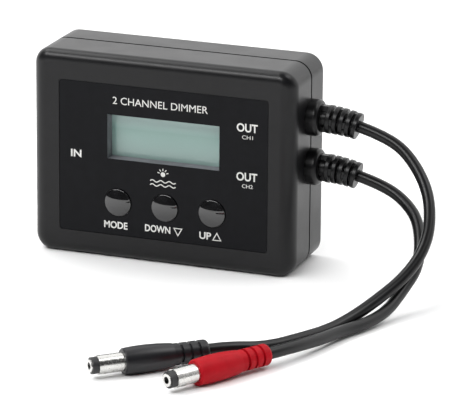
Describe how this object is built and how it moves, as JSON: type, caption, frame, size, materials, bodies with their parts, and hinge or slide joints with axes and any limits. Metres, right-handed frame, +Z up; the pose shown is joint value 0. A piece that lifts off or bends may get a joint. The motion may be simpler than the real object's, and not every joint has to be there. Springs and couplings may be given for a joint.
{
  "type": "two-channel aquarium light dimmer",
  "caption": "Plastic dimmer box for aquarium LED lights with an LCD, round push buttons, an input jack and output cables ending in DC plugs.",
  "frame": {"origin": "middle of the box's footprint, on the surface it stands on, cables and reliefs left out", "axes": "+X along the width towards the output cables, -Y out of the front face, +Z up"},
  "size_m": [0.132, 0.1358, 0.065],
  "materials": {
    "case_plastic": "fine satin texture",
    "label_film": "satin film",
    "lcd_glass": "reflective grey-green display",
    "white_plastic": "moulded",
    "cap_plastic": "polished",
    "component_black": "moulded",
    "board_green": "solder mask",
    "screw_steel": "zinc plated",
    "nickel": "nickel plated",
    "cable_rubber": "soft satin",
    "grip_black": "soft satin",
    "grip_red": "soft satin"
  },
  "bodies": {
    "housing": {"backup_cell": "nickel", "board_screw_lower_left": "screw_steel", "board_screw_lower_right": "screw_steel", "board_screw_upper_left": "screw_steel", "board_screw_upper_right": "screw_steel", "cable_1": "cable_rubber", "cable_2": "cable_rubber", "capacitor": "nickel", "case_screw_lower_left": "screw_steel", "case_screw_lower_right": "screw_steel", "case_screw_upper_left": "screw_steel", "case_screw_upper_right": "screw_steel", "cell_holder": "component_black", "circuit_board": "board_green", "crystal": "nickel", "front_label": "label_film", "front_shell": "case_plastic", "inner_lead_1": "cable_rubber", "inner_lead_2": "cable_rubber", "input_diode": "component_black", "jack_contact": "nickel", "jack_housing": "component_black", "jack_pin": "nickel", "lcd_backlight": "white_plastic", "lcd_glass": "lcd_glass", "microcontroller": "component_black", "output_connector_1": "white_plastic", "output_connector_2": "white_plastic", "output_transistor_1": "component_black", "output_transistor_2": "component_black", "plug_1_barrel": "nickel", "plug_1_contact": "nickel", "plug_1_grip": "grip_black", "plug_1_insulator": "component_black", "plug_2_barrel": "nickel", "plug_2_contact": "nickel", "plug_2_grip": "grip_red", "plug_2_insulator": "component_black", "rear_shell": "case_plastic", "strain_relief_1": "cable_rubber", "strain_relief_2": "cable_rubber", "switch_down": "component_black", "switch_mode": "component_black", "switch_up": "component_black", "voltage_regulator": "component_black"},
    "mode_key": {"button_mode": "cap_plastic", "plunger_mode": "white_plastic"},
    "down_key": {"button_down": "cap_plastic", "plunger_down": "white_plastic"},
    "up_key": {"button_up": "cap_plastic", "plunger_up": "white_plastic"}
  },
  "joints": [
    {"name": "mode_press", "type": "slide", "parent": "housing", "child": "mode_key", "axis": [0, 1, 0], "range_m": [0, 0.0003], "stiffness_N_per_m": 2000},
    {"name": "down_press", "type": "slide", "parent": "housing", "child": "down_key", "axis": [0, 1, 0], "range_m": [0, 0.0003], "stiffness_N_per_m": 2000},
    {"name": "up_press", "type": "slide", "parent": "housing", "child": "up_key", "axis": [0, 1, 0], "range_m": [0, 0.0003], "stiffness_N_per_m": 2000}
  ]
}
